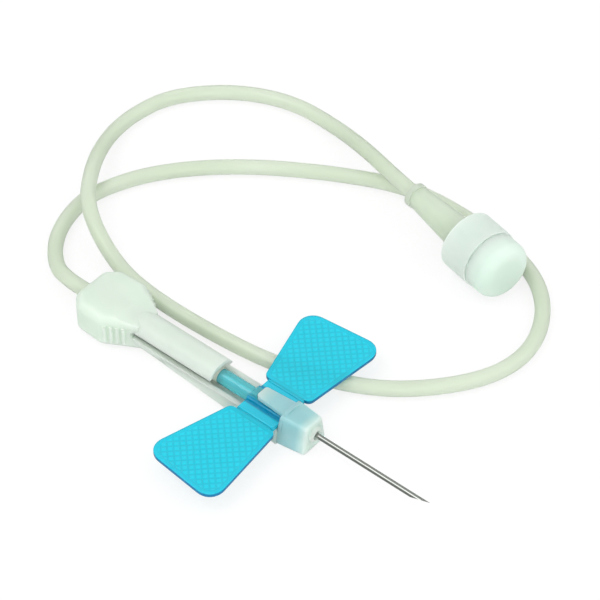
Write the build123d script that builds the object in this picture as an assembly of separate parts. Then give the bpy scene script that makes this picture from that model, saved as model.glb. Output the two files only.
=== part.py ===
"""Winged needle set with a sliding safety housing, soft tubing, luer connector and cap.

Millimetres. +X runs along the needle to its tip, +Y to the right wing seen from the
housing's rear, +Z up. The origin lies on the table, midway between the housing's rear
face and the needle's tip.
"""

import math
import os

from build123d import *

# Needle
NEEDLE_OD = 0.8
NEEDLE_BORE = 0.5
NEEDLE_EXPOSED = 20.6
NEEDLE_BONDED = 9.5
BEVEL_LENGTH = 3.1
BEVEL_ROLL = 40.0
LANCET_ANGLE = 32.0
LANCET_STEEPER = 9.0

# Tubing
TUBE_OD = 2.4
TUBE_BORE = 1.2

# Height of the needle's axis above the table
AXIS_HEIGHT = 2.9

# Housing, lengths counted from its rear face and from the nose's front face
HOUSING_LENGTH = 43.6
HOUSING_WIDTH = 5.3
HOUSING_HEIGHT = 5.3
HOUSING_CORNER = 2.35
HOUSING_WALL = 0.85
CAVITY_CORNER = 1.0
REAR_WALL = 1.4
GRIP_REAR_WIDTH = 6.0
GRIP_SHOULDER_WIDTH = 9.8
GRIP_SHOULDER_AT = 1.9
GRIP_WIDTH = 10.3
GRIP_WIDEST_AT = 6.6
GRIP_LENGTH = 11.7
GRIP_HEIGHT = 5.8
GRIP_CORNER = 1.7
GRIP_EDGE = 1.3
GRIP_ROOT_INSET = 0.45
GRIP_RAMP_LENGTH = 3.6
GRIP_RAMP_DROP = 0.85
RIB_COUNT = 4
RIB_RADIUS = 0.3
RIB_FIRST_AT = 0.8
RIB_PITCH = 0.95
NOSE_LENGTH = 4.6
NOSE_BOTTOM_WIDTH = 6.5
NOSE_TOP_WIDTH = 4.3
NOSE_HEIGHT = 5.05
NOSE_DRAFT = 0.75
NOSE_CORNER = 0.6
NOSE_FRONT_EDGE = 0.45
NOSE_WALL = 1.2
BOSS_LENGTH = 0.5
BOSS_BASE_RADIUS = 1.35
BOSS_TIP_RADIUS = 1.0
ARM_LENGTH = 5.3
ARM_ROOT_WIDTH = 3.0
ARM_END_WIDTH = 2.2
ARM_THICKNESS = 0.8
ARM_CORNER = 0.5
WINDOW_BEHIND_SLEEVE = 0.1

# Wing moulding
SLEEVE_OD = 2.4
SLEEVE_REAR_AT = 17.5
SLEEVE_FRONT_AT = 2.3
HUB_WIDTH = 3.0
HUB_BELOW_AXIS = 1.3
HUB_ABOVE_AXIS = 1.0
HUB_EDGE = 0.25
WEB_FRONT_AT = 4.9
WEB_LENGTH = 6.6
WEB_THICKNESS = 0.7
WEB_RISE = 0.2
FOLD_OFFSET = 3.6
FOLD_GAP = 0.1
SPIGOT_LENGTH = 3.2
SPIGOT_WALL = 0.25
WELL_RADIUS = 0.85
WELL_DEPTH = 1.3
BEAD_HEIGHT = 0.45
CATCH_LENGTH = 1.3
CATCH_WIDTH = 1.7
CATCH_HEIGHT = 0.3

# Wing panels, corners counted back from the nose's front face
WING_SPAN = 38.4
WING_REAR_TIP_INSET = 1.4
WING_ROOT_FRONT_AT = 4.1
WING_ROOT_REAR_AT = 12.5
WING_TIP_FRONT_AT = 2.5
WING_TIP_REAR_AT = 16.5
WING_TIP_RADIUS = 2.5
WING_ROOT_RADIUS = 1.0
WING_EDGE = 0.12

# Luer connector and cap, lengths counted along their own axis from the narrow end
CONNECTOR_X = -7.25
CONNECTOR_Y = 46.4
CONNECTOR_TURN = -13.0
CONNECTOR_LENGTH = 18.4
CONNECTOR_RIM_RADIUS = 2.0
CONNECTOR_RIM_LENGTH = 0.9
CONNECTOR_NECK_RADIUS = 1.8
CONNECTOR_BODY_RADIUS = 2.75
CONNECTOR_TAPER_LENGTH = 11.6
SOCKET_RECESS = 0.6
LUER_MOUTH_RADIUS = 2.15
LUER_DEPTH = 7.5
LUER_TAPER = 0.06
LUG_RADIUS = 3.85
LUG_LENGTH = 1.1
LUG_ANGLE = 70.0
CAP_REAR_AT = 12.35
CAP_LENGTH = 9.9
CAP_RADIUS = 4.9
CAP_WALL = 0.85
CAP_COLLAR_LENGTH = 5.5
CAP_STEP = 0.2
CAP_GROOVE = 0.25
CAP_DOME_EDGE = 1.9
CAP_RIM_EDGE = 0.35
PLUG_INSET = 1.2

# Clearances
SLIDE_GAP = 0.25
ARM_GAP = 0.12
BOND_GAP = 0.02
SPIGOT_GAP = 0.04
PLUG_GAP = 0.04
TUBE_EXIT_GAP = 0.2
NEEDLE_HOLE_GAP = 0.35
SLOT_GAP = 0.25
COVER_PAST_TIP = 0.6

STROKE = NEEDLE_EXPOSED + COVER_PAST_TIP

# Places along X
X_TIP = (HOUSING_LENGTH + NEEDLE_EXPOSED) / 2
X_NOSE = X_TIP - NEEDLE_EXPOSED
X_REAR = X_NOSE - HOUSING_LENGTH
X_NOSE_REAR = X_NOSE - NOSE_LENGTH
X_SLEEVE_REAR = X_NOSE - SLEEVE_REAR_AT
X_SLEEVE_FRONT = X_NOSE - SLEEVE_FRONT_AT
X_WEB_FRONT = X_NOSE - WEB_FRONT_AT
X_WEB_REAR = X_WEB_FRONT - WEB_LENGTH
X_ARM_END = X_NOSE_REAR - ARM_LENGTH

# Heights
WEB_MIDDLE = AXIS_HEIGHT + WEB_RISE
WEB_TOP = WEB_MIDDLE + WEB_THICKNESS / 2
SLOT_BOTTOM = WEB_MIDDLE - WEB_THICKNESS / 2 - SLOT_GAP
SLOT_TOP = WEB_TOP + SLOT_GAP
SLEEVE_TOP = AXIS_HEIGHT + SLEEVE_OD / 2
CATCH_TOP = SLEEVE_TOP + CATCH_HEIGHT

# The free tubing's route, chosen by hand. It leaves the housing, crosses under its own
# later turn, passes behind the connector and under the right wing, and ends in the connector.
FLOOR = TUBE_OD / 2
EXIT_POINT = (X_REAR, 0.0, AXIS_HEIGHT)
ROUTE = [
    (-36.4, 0.0, AXIS_HEIGHT),
    (-40.7, 1.4, 2.0),
    (-45.5, 6.2, FLOOR),
    (-47.8, 11.9, FLOOR),
    (-48.2, 17.9, FLOOR),
    (-44.2, 27.1, FLOOR),
    (-35.6, 36.4, FLOOR),
    (-23.8, 44.4, FLOOR),
    (-11.3, 50.5, FLOOR),
    (1.9, 50.7, FLOOR),
    (13.8, 48.2, FLOOR),
    (20.5, 43.1, FLOOR),
    (24.3, 35.3, FLOOR),
    (23.7, 27.5, FLOOR),
    (18.7, 19.7, FLOOR),
    (11.2, 13.0, FLOOR),
    (-0.9, 8.2, FLOOR),
    (-12.0, 6.8, FLOOR),
    (-24.9, 6.5, FLOOR),
    (-34.5, 7.9, 1.4),
    (-44.2, 11.9, 4.6),
    (-49.8, 19.2, 4.6),
    (-54.7, 27.8, 1.9),
    (-55.9, 34.8, FLOOR),
    (-54.3, 42.4, FLOOR),
    (-47.2, 50.0, FLOOR),
    (-38.2, 54.0, FLOOR),
    (-28.6, 53.6, 1.4),
    (-19.9, 50.4, 3.8),
]
LAST_RUN = 6.0


def on_axis(shape, x):
    """Moves a solid turned about its own Z so that Z runs along the needle's axis from x."""
    return Plane(origin=(x, 0, AXIS_HEIGHT), x_dir=(0, 1, 0), z_dir=(1, 0, 0)) * shape


def rod(radius, x_start, x_end):
    """A solid cylinder on the needle's axis."""
    length = x_end - x_start
    align = (Align.CENTER, Align.CENTER, Align.MIN)
    return on_axis(Cylinder(radius, length, align=align), x_start)


def block(x_start, x_end, half_width, z_low, z_high):
    """A box that is symmetrical about the needle's plane."""
    size = (x_end - x_start, 2 * half_width, z_high - z_low)
    middle = ((x_start + x_end) / 2, 0, (z_low + z_high) / 2)
    return Pos(*middle) * Box(*size)


def section_prism(width, height, corner, z_low, x_start, x_end):
    """A rounded rectangle drawn across the needle's axis and pulled along it."""
    plane = Plane(origin=(x_start, 0, z_low + height / 2), x_dir=(0, 1, 0), z_dir=(1, 0, 0))
    return extrude(plane * RectangleRounded(width, height, corner), amount=x_end - x_start)


def grip():
    """The flared rear of the housing: a flat paddle with rounded corners and finger ribs."""
    x_shoulder = X_REAR + GRIP_SHOULDER_AT
    x_widest = X_REAR + GRIP_WIDEST_AT
    x_end = X_REAR + GRIP_LENGTH
    half_end = HOUSING_WIDTH / 2 - GRIP_ROOT_INSET
    half = [
        (X_REAR, GRIP_REAR_WIDTH / 2),
        (x_shoulder, GRIP_SHOULDER_WIDTH / 2),
        (x_widest, GRIP_WIDTH / 2),
        (x_end, half_end),
    ]
    outline = make_face(Polyline(*half, *[(x, -y) for x, y in reversed(half)], close=True))
    corners = outline.vertices().group_by(Axis.X)[:-1]
    outline = fillet([v for group in corners for v in group], GRIP_CORNER)
    paddle = extrude(outline, amount=GRIP_HEIGHT)
    rims = paddle.edges().filter_by(Axis.Z, reverse=True).filter_by(Axis.Y, reverse=True)
    rear_rims = paddle.faces().sort_by(Axis.X)[0].edges().filter_by(Axis.Y)
    paddle = fillet(rims + rear_rims, GRIP_EDGE)
    # The top slopes down at the front, so that the grip runs into the round body.
    ramp = make_face(Plane.XZ * Polyline(
        (x_end - GRIP_RAMP_LENGTH, GRIP_HEIGHT),
        (x_end, GRIP_HEIGHT - GRIP_RAMP_DROP),
        (x_end, 2 * GRIP_HEIGHT),
        (x_end - GRIP_RAMP_LENGTH, 2 * GRIP_HEIGHT),
        close=True,
    ))
    paddle -= extrude(ramp, amount=GRIP_WIDTH, both=True)
    # The ribs stand along the two slopes that the fingers push on.
    start = Vector(x_widest, GRIP_WIDTH / 2)
    end = Vector(x_end, half_end)
    slope = end - start
    rib_height = GRIP_HEIGHT - 2 * GRIP_EDGE
    ribs = []
    for index in range(RIB_COUNT):
        along = RIB_FIRST_AT + RIB_PITCH * index
        place = start + slope.normalized() * along
        for side in (-1, 1):
            middle = Pos(place.X, side * place.Y, GRIP_HEIGHT / 2)
            ribs.append(middle * Cylinder(RIB_RADIUS, rib_height))
    return paddle + ribs


def nose():
    """The block at the housing's front, narrower at its top and towards the needle."""

    def profile(x, inset):
        low, high = NOSE_BOTTOM_WIDTH / 2 - inset, NOSE_TOP_WIDTH / 2 - inset / 2
        points = [(-low, 0), (low, 0), (high, NOSE_HEIGHT), (-high, NOSE_HEIGHT)]
        plane = Plane(origin=(x, 0, 0), x_dir=(0, 1, 0), z_dir=(1, 0, 0))
        face = make_face(Polyline(*points, close=True))
        return plane * fillet(face.vertices(), NOSE_CORNER)

    body = loft([profile(X_NOSE_REAR, 0), profile(X_NOSE, NOSE_DRAFT)])
    front = body.faces().sort_by(Axis.X)[-1]
    body = fillet(front.edges(), NOSE_FRONT_EDGE)
    align = (Align.CENTER, Align.CENTER, Align.MIN)
    boss = Cone(BOSS_BASE_RADIUS, BOSS_TIP_RADIUS, BOSS_LENGTH, align=align)
    return body + on_axis(boss, X_NOSE)


def latch_arm():
    """The springy arm that reaches back from the nose over the sleeve, to the catch."""
    z_low = SLEEVE_TOP + ARM_GAP
    root, end = ARM_ROOT_WIDTH / 2, ARM_END_WIDTH / 2
    x_root = X_NOSE_REAR + NOSE_CORNER
    points = [(X_ARM_END, -end), (x_root, -root), (x_root, root), (X_ARM_END, end)]
    outline = make_face(Polyline(*points, close=True))
    outline = fillet(outline.vertices().group_by(Axis.X)[0], ARM_CORNER)
    return Pos(0, 0, z_low) * extrude(outline, amount=ARM_THICKNESS)


def safety_shield():
    """The milky housing: grip, slotted round body with its open window, nose and arm."""
    x_start, x_end = X_REAR + GRIP_SHOULDER_AT, X_NOSE_REAR + NOSE_CORNER
    body = section_prism(HOUSING_WIDTH, HOUSING_HEIGHT, HOUSING_CORNER, 0, x_start, x_end)
    shell = body + grip() + nose()
    cavity = section_prism(
        HOUSING_WIDTH - 2 * HOUSING_WALL,
        HOUSING_HEIGHT - 2 * HOUSING_WALL,
        CAVITY_CORNER,
        HOUSING_WALL,
        X_REAR + REAR_WALL,
        X_NOSE_REAR,
    )
    shell -= cavity
    shell -= rod(SLEEVE_OD / 2 + SLIDE_GAP, X_NOSE_REAR - NOSE_CORNER, X_NOSE - NOSE_WALL)
    shell -= rod(NEEDLE_OD / 2 + NEEDLE_HOLE_GAP, X_NOSE - 2 * NOSE_WALL, X_NOSE + 2 * BOSS_LENGTH)
    shell -= rod(TUBE_OD / 2 + TUBE_EXIT_GAP, X_REAR - REAR_WALL, X_REAR + 2 * REAR_WALL)
    # The wing roots run back through the side slots by the whole stroke.
    x_slot = X_WEB_REAR - STROKE - SLOT_GAP
    shell -= block(x_slot, X_NOSE_REAR, GRIP_WIDTH, SLOT_BOTTOM, SLOT_TOP)
    x_window = X_SLEEVE_REAR - WINDOW_BEHIND_SLEEVE
    shell -= block(x_window, X_NOSE_REAR, GRIP_WIDTH, SLOT_BOTTOM, 2 * GRIP_HEIGHT)
    return shell + latch_arm()


def wing_hub():
    """The blue sleeve with its thick middle, the webs up to the fold lines and the spigot."""
    sleeve = rod(SLEEVE_OD / 2, X_SLEEVE_REAR, X_SLEEVE_FRONT)
    z_low, z_high = AXIS_HEIGHT - HUB_BELOW_AXIS, AXIS_HEIGHT + HUB_ABOVE_AXIS
    middle = block(X_WEB_REAR, X_WEB_FRONT, HUB_WIDTH / 2, z_low, z_high)
    middle = fillet(middle.edges().filter_by(Axis.X), HUB_EDGE)
    web_edge = FOLD_OFFSET - FOLD_GAP / 2
    web = block(X_WEB_REAR, X_WEB_FRONT, web_edge, WEB_MIDDLE - WEB_THICKNESS / 2, WEB_TOP)
    x_catch = X_ARM_END - SLOT_GAP - CATCH_LENGTH
    catch = block(x_catch, x_catch + CATCH_LENGTH, CATCH_WIDTH / 2, AXIS_HEIGHT, CATCH_TOP)
    ramp = catch.edges().filter_by(Axis.Y).group_by(Axis.Z)[-1].sort_by(Axis.X)[0]
    catch = chamfer(ramp, CATCH_HEIGHT)
    spigot_radius = TUBE_BORE / 2 - SPIGOT_GAP
    spigot = rod(spigot_radius, X_SLEEVE_REAR - SPIGOT_LENGTH, X_SLEEVE_REAR)
    hub = sleeve + middle + web + catch + spigot
    x_needle_rear = X_NOSE - NEEDLE_BONDED
    hub -= rod(NEEDLE_OD / 2 + BOND_GAP, x_needle_rear, X_NOSE)
    hub -= rod(spigot_radius - SPIGOT_WALL, X_SLEEVE_REAR - 2 * SPIGOT_LENGTH, x_needle_rear)
    return hub - rod(WELL_RADIUS, X_SLEEVE_FRONT - WELL_DEPTH, X_NOSE)


def wing(side):
    """One flat wing beyond its fold line; side is 1 for the right wing and -1 for the left."""
    root = FOLD_OFFSET + FOLD_GAP / 2
    points = [
        (X_NOSE - WING_ROOT_REAR_AT, root),
        (X_NOSE - WING_TIP_REAR_AT, WING_SPAN / 2 - WING_REAR_TIP_INSET),
        (X_NOSE - WING_TIP_FRONT_AT, WING_SPAN / 2),
        (X_NOSE - WING_ROOT_FRONT_AT, root),
    ]
    outline = make_face(Polyline(*points, close=True))
    tips = [v for v in outline.vertices() if v.Y > 2 * root]
    outline = fillet(tips, WING_TIP_RADIUS)
    rears = [v for v in outline.vertices() if v.Y < 2 * root]
    outline = fillet(rears, WING_ROOT_RADIUS)
    panel = Pos(0, 0, WEB_MIDDLE - WEB_THICKNESS / 2) * extrude(outline, amount=WEB_THICKNESS)
    faces = panel.faces().sort_by(Axis.Z)
    rims = faces[0].edges() + faces[-1].edges()
    panel = fillet(rims.sort_by(Axis.Y)[2:], WING_EDGE)
    return panel if side > 0 else mirror(panel, about=Plane.XZ)


def needle_cannula():
    """The steel tube with its main bevel and the two lancet cuts at the point."""
    tube = rod(NEEDLE_OD / 2, X_NOSE - NEEDLE_BONDED, X_TIP)
    tube -= rod(NEEDLE_BORE / 2, X_NOSE - 2 * NEEDLE_BONDED, X_TIP + NEEDLE_OD)
    reach = 2 * (BEVEL_LENGTH + NEEDLE_EXPOSED)
    slope = math.degrees(math.atan2(NEEDLE_OD, BEVEL_LENGTH))
    align = (Align.CENTER, Align.CENTER, Align.MAX)
    cutter = Box(reach, reach, reach, align=align)
    point = Pos(X_TIP, 0, AXIS_HEIGHT)
    cuts = [(0, slope), (-LANCET_ANGLE, slope + LANCET_STEEPER), (LANCET_ANGLE, slope + LANCET_STEEPER)]
    for turn, steep in cuts:
        aside = NEEDLE_OD / 2 * math.cos(math.radians(turn))
        place = point * Rot(BEVEL_ROLL + turn, 0, 0) * Pos(0, aside, 0)
        tube -= place * Rot(0, 0, steep) * Rot(-90, 0, 0) * cutter
    return tube


def needle_adhesive():
    """The cured bead that fills the well at the sleeve's front and climbs the needle."""
    outer, inner = WELL_RADIUS - BOND_GAP, NEEDLE_OD / 2 + BOND_GAP
    depth = WELL_DEPTH - BOND_GAP
    points = [(inner, -depth), (outer, -depth), (outer, 0), (inner, BEAD_HEIGHT)]
    bead = revolve(make_face(Plane.XZ * Polyline(*points, close=True)), Axis.Z)
    return on_axis(bead, X_SLEEVE_FRONT)


def tube_section(plane):
    """The tubing's ring-shaped section on a plane."""
    return plane * (Circle(TUBE_OD / 2) - Circle(TUBE_BORE / 2))


def tubing_inner():
    """The straight tubing inside the housing, pushed over the spigot."""
    plane = Plane(origin=(X_REAR, 0, AXIS_HEIGHT), x_dir=(0, 1, 0), z_dir=(1, 0, 0))
    return extrude(tube_section(plane), amount=X_SLEEVE_REAR - X_REAR)


def connector_direction():
    """The connector's axis, level with the table."""
    turn = math.radians(CONNECTOR_TURN)
    return Vector(math.cos(turn), math.sin(turn), 0)


def tubing():
    """The free tubing: straight runs joined by tangent arcs, as large as the runs allow."""
    direction = connector_direction()
    end = Vector(CONNECTOR_X, CONNECTOR_Y, CAP_RADIUS) + direction * SOCKET_RECESS
    points = [Vector(*EXIT_POINT)] + [Vector(*p) for p in ROUTE] + [end - direction * LAST_RUN, end]
    radii = []
    for before, here, after in zip(points, points[1:], points[2:]):
        arriving, leaving = here - before, after - here
        half_turn = math.radians(arriving.get_angle(leaving)) / 2
        shorter = min(arriving.length, leaving.length)
        radii.append(0.45 * shorter / math.tan(half_turn))
    path = FilletPolyline(*points, radius=radii)
    plane = Plane(origin=points[0], z_dir=points[1] - points[0])
    tube = sweep(tube_section(plane), path=path)
    section = math.pi / 4 * (TUBE_OD**2 - TUBE_BORE**2)
    print("tubing length", round(path.length, 1), "radii", [round(r, 1) for r in radii])
    print("tubing volume", round(tube.volume, 1), "section x length", round(section * path.length, 1))
    return tube


def on_connector(shape):
    """Moves a solid turned about its own Z to the connector's axis, narrow end at Z 0."""
    origin = (CONNECTOR_X, CONNECTOR_Y, CAP_RADIUS)
    return Plane(origin=origin, x_dir=(0, 0, 1), z_dir=connector_direction()) * shape


def turned(points):
    """A solid of revolution about Z from (radius, height) points."""
    return revolve(make_face(Plane.XZ * Polyline(*points, close=True)), Axis.Z)


def luer_connector():
    """The tapered connector: rim round the tubing, flared body, female luer taper and lugs."""
    mouth, floor = CONNECTOR_LENGTH, CONNECTOR_LENGTH - LUER_DEPTH
    floor_radius = LUER_MOUTH_RADIUS - LUER_DEPTH * LUER_TAPER / 2
    taper_end = CONNECTOR_RIM_LENGTH + CONNECTOR_TAPER_LENGTH
    body = turned([
        (TUBE_BORE / 2, SOCKET_RECESS),
        (TUBE_OD / 2 + BOND_GAP, SOCKET_RECESS),
        (TUBE_OD / 2 + BOND_GAP, 0),
        (CONNECTOR_RIM_RADIUS, 0),
        (CONNECTOR_RIM_RADIUS, CONNECTOR_RIM_LENGTH),
        (CONNECTOR_NECK_RADIUS, CONNECTOR_RIM_LENGTH),
        (CONNECTOR_BODY_RADIUS, taper_end),
        (CONNECTOR_BODY_RADIUS, mouth),
        (LUER_MOUTH_RADIUS, mouth),
        (floor_radius, floor),
        (TUBE_BORE / 2, floor),
    ])
    inner = CONNECTOR_BODY_RADIUS - BOND_GAP
    ring = Cylinder(LUG_RADIUS, LUG_LENGTH) - Cylinder(inner, 2 * LUG_LENGTH)
    half = math.tan(math.radians(LUG_ANGLE / 2)) * LUG_RADIUS
    wedge = make_face(Polyline((0, 0), (LUG_RADIUS, half), (LUG_RADIUS, -half), close=True))
    lug = ring & (Pos(0, 0, -LUG_LENGTH / 2) * extrude(wedge, LUG_LENGTH))
    for turn in (0, 180):
        body += Rot(0, 0, turn) * Pos(0, 0, mouth - LUG_LENGTH / 2) * lug
    return on_connector(body)


def luer_cap():
    """The round cap: collar, shallow groove, domed front and the plug in the luer taper."""
    rear, front = CAP_REAR_AT, CAP_REAR_AT + CAP_LENGTH
    step = rear + CAP_COLLAR_LENGTH
    dome = CAP_RADIUS - CAP_STEP
    outer = turned([
        (0, rear),
        (CAP_RADIUS, rear),
        (CAP_RADIUS, step),
        (dome - CAP_GROOVE / 2, step),
        (dome - CAP_GROOVE / 2, step + CAP_GROOVE),
        (dome, step + CAP_GROOVE),
        (dome, front),
        (0, front),
    ])
    outer = fillet(outer.edges().filter_by(GeomType.CIRCLE).sort_by(Axis.Z)[-1], CAP_DOME_EDGE)
    rims = outer.edges().filter_by(GeomType.CIRCLE).group_by(Axis.Z)[0]
    outer = fillet(rims, CAP_RIM_EDGE)
    cavity_end = CONNECTOR_LENGTH + SLIDE_GAP
    align = (Align.CENTER, Align.CENTER, Align.MIN)
    bore = Pos(0, 0, rear) * Cylinder(CAP_RADIUS - CAP_WALL, cavity_end - rear, align=align)
    plug_start = CONNECTOR_LENGTH - LUER_DEPTH + PLUG_INSET
    shrink = LUER_TAPER / 2
    tip = LUER_MOUTH_RADIUS - PLUG_GAP - (CONNECTOR_LENGTH - plug_start) * shrink
    root = LUER_MOUTH_RADIUS - PLUG_GAP + SLIDE_GAP * shrink
    plug_end = front - CAP_WALL
    plug = turned([
        (0, plug_start),
        (tip, plug_start),
        (root, cavity_end),
        (root, plug_end),
        (0, plug_end),
    ])
    return on_connector(outer - bore + plug)


PARTS = {
    "safety_shield": safety_shield,
    "wing_hub": wing_hub,
    "wing_left": lambda: wing(-1),
    "wing_right": lambda: wing(1),
    "needle_cannula": needle_cannula,
    "needle_adhesive": needle_adhesive,
    "tubing_inner": tubing_inner,
    "tubing": tubing,
    "luer_connector": luer_connector,
    "luer_cap": luer_cap,
}

os.makedirs("parts", exist_ok=True)
for node, make in PARTS.items():
    export_step(make(), f"parts/{node}.step")
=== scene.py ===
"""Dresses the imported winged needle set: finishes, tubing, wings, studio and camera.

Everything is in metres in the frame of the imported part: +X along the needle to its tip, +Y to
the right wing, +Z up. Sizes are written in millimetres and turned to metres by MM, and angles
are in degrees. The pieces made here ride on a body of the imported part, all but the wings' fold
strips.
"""

import logging
import math
from collections.abc import Callable, Iterator
from contextlib import contextmanager
from dataclasses import dataclass
from enum import Enum

import bpy
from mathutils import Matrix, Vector


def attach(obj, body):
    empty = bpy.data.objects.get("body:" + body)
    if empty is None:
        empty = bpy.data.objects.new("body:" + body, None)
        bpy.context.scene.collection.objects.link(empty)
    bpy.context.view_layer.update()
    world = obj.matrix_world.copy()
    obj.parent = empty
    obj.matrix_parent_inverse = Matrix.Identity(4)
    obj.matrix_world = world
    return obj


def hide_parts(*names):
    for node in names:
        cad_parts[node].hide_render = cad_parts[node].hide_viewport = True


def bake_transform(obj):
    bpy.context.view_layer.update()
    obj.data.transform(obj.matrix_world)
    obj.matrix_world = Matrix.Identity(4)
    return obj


# Short names for the types that most functions handle.
Tree = bpy.types.NodeTree
Node = bpy.types.Node
Socket = bpy.types.NodeSocket
Material = bpy.types.Material
Piece = bpy.types.Object

MM = 0.001
# Between the lines that the diamonds of the grip fields lie between, in shape and in the painted
# shade of their grooves.
DIAMOND_PITCH_MM = 0.92
# Past every piece: where a colour band with no outer end begins and ends to fade.
BEYOND_MM = (50.0, 100.0)
# The vertical part of a face's normal: above the first the face is flat, below the second a side.
FLAT, UPRIGHT = 0.99, 0.35
# Points that lie nearer to each other than this are the same, in metres.
SAME_PLACE = 1e-6
# Edges that bend less than this look round on the foot and the ribs.
SMOOTH_DEG = 40.0

logging.basicConfig(level=logging.INFO, format="%(message)s")
log = logging.getLogger("needle_set")

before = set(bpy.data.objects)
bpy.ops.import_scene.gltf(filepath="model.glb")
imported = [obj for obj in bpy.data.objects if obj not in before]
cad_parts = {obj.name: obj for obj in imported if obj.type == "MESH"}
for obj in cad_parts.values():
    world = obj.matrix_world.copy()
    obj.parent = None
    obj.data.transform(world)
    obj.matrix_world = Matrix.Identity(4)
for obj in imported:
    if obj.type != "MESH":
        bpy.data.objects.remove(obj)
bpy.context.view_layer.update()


class Side(Enum):
    """The two wings, with the sign of their side of the needle's plane."""

    LEFT = -1
    RIGHT = 1


class Face(Enum):
    """The two flat faces of a wing, with the sign of their normal."""

    TOP = 1
    BOTTOM = -1


class Axis(Enum):
    """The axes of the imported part: along the needle, to the right wing and up."""

    X = "X"
    Y = "Y"
    Z = "Z"


class WingFinish(Enum):
    """A wing's material slots."""

    RIM = 0
    GRIP = 1
    EDGE = 2


class Body(Enum):
    """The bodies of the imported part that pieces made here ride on."""

    NEEDLE_UNIT = "needle_unit"
    HOUSING = "housing"
    LEFT_WING = "left_wing"
    RIGHT_WING = "right_wing"


# -------------------------------------------------------------- shader nodes


def linear(code: str) -> tuple[float, float, float, float]:
    """Turns an sRGB hex colour to the linear values that a shader takes.

    Args:
        code: The colour as six hex digits after a #.

    Returns:
        Red, green, blue and an alpha of 1.
    """
    values = [int(code[i : i + 2], 16) / 255 for i in (1, 3, 5)]
    red, green, blue = (v / 12.92 if v <= 0.04045 else ((v + 0.055) / 1.055) ** 2.4 for v in values)
    return red, green, blue, 1.0


def named(sockets: bpy.types.bpy_prop_collection, key: str | int) -> Socket:
    """Finds a socket by its identifier, its name or its index.

    Args:
        sockets: A node's inputs or outputs.
        key: What to look for.

    Returns:
        The socket.
    """
    matches = [s for s in sockets if s.identifier == key and s.enabled]
    return matches[0] if matches else sockets[key]


def add_node(
    tree: Tree,
    kind: str,
    inputs: dict[str | int, object] | None = None,
    links: dict[str | int, Socket] | None = None,
    **settings: object,
) -> Node:
    """Adds one shader node with its settings, values and incoming links.

    Args:
        tree: The node tree.
        kind: The node's type name.
        inputs: Values by input name or index.
        links: Output sockets by input name or index.
        **settings: The node's own properties.

    Returns:
        The new node.
    """
    node = tree.nodes.new(kind)
    for name, value in settings.items():
        setattr(node, name, value)
    for name, value in (inputs or {}).items():
        named(node.inputs, name).default_value = value
    for name, socket in (links or {}).items():
        tree.links.new(socket, named(node.inputs, name))
    return node


def compute(tree: Tree, operation: str, *values: Socket | float, clamp: bool = False) -> Socket:
    """Adds a sum, a product or the like.

    Args:
        tree: The node tree.
        operation: The math node's operation.
        *values: Its inputs in order, each a socket or a number.
        clamp: Whether the result stays between 0 and 1.

    Returns:
        The result's socket.
    """
    numbers = {i: value for i, value in enumerate(values) if isinstance(value, float)}
    links = {i: value for i, value in enumerate(values) if i not in numbers}
    settings = {"operation": operation, "use_clamp": clamp}
    return add_node(tree, "ShaderNodeMath", numbers, links, **settings).outputs[0]


def remap(
    tree: Tree, value: Socket, onto: tuple[float, float], span: tuple[float, float] = (0.0, 1.0)
) -> Socket:
    """Turns the values of one range to those of another, and keeps the rest at its ends.

    Args:
        tree: The node tree.
        value: What is turned.
        onto: The new values at the range's two ends.
        span: The range.

    Returns:
        The new value's socket.
    """
    ends = {"From Min": span[0], "From Max": span[1], "To Min": onto[0], "To Max": onto[1]}
    return add_node(tree, "ShaderNodeMapRange", ends, {"Value": value}).outputs["Result"]


def coordinate(tree: Tree, place: Socket, axis: Axis) -> Socket:
    """One coordinate of a place."""
    return add_node(tree, "ShaderNodeSeparateXYZ", links={"Vector": place}).outputs[axis.value]


def band(
    tree: Tree,
    place: Socket,
    axis: Axis,
    stops_mm: tuple[float, float, float, float],
    folded: bool = False,
) -> Socket:
    """A value of 1 in a band along one axis, with soft ends.

    Args:
        tree: The node tree.
        place: Object coordinates.
        axis: The axis that the band is measured along.
        stops_mm: Where the value leaves 0, reaches 1, leaves 1 and is 0 again.
        folded: Whether the band is repeated on the other side of the origin.

    Returns:
        The value's socket.
    """
    where = coordinate(tree, place, axis)
    if folded:
        where = compute(tree, "ABSOLUTE", where)
    ends = [
        remap(tree, where, (0.0, 1.0), (zero * MM, one * MM))
        for zero, one in (stops_mm[:2], stops_mm[:1:-1])
    ]
    return compute(tree, "MINIMUM", *ends)


def blend_colour(tree: Tree, share: Socket, colour: Socket, other: str) -> Socket:
    """Turns a colour to another one by a varying share.

    Args:
        tree: The node tree.
        share: From 0 for the first colour to 1 for the other.
        colour: The first colour.
        other: The other one, as an sRGB hex value.

    Returns:
        The mixed colour's socket.
    """
    mix = add_node(
        tree,
        "ShaderNodeMix",
        {"B_Color": linear(other)},
        {"Factor_Float": share, "A_Color": colour},
        data_type="RGBA",
    )
    return named(mix.outputs, "Result_Color")


def mix_shaders(tree: Tree, share: Socket, first: Socket, second: Socket) -> Socket:
    """Mixes two shaders.

    Args:
        tree: The node tree.
        share: From 0 for the first to 1 for the second.
        first: The first shader.
        second: The second one.

    Returns:
        The mixed shader's socket.
    """
    links = {0: share, 1: first, 2: second}
    return add_node(tree, "ShaderNodeMixShader", links=links).outputs[0]


def clouds(tree: Tree, place: Socket, size_mm: float, detail: float) -> Socket:
    """Adds soft clouds.

    Args:
        tree: The node tree.
        place: Object coordinates.
        size_mm: The size of the largest clouds.
        detail: How many finer layers lie over them.

    Returns:
        A value that wanders between 0 and 1.
    """
    inputs = {"Scale": 1 / (size_mm * MM), "Detail": detail}
    return add_node(tree, "ShaderNodeTexNoise", inputs, {"Vector": place}).outputs["Fac"]


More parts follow.
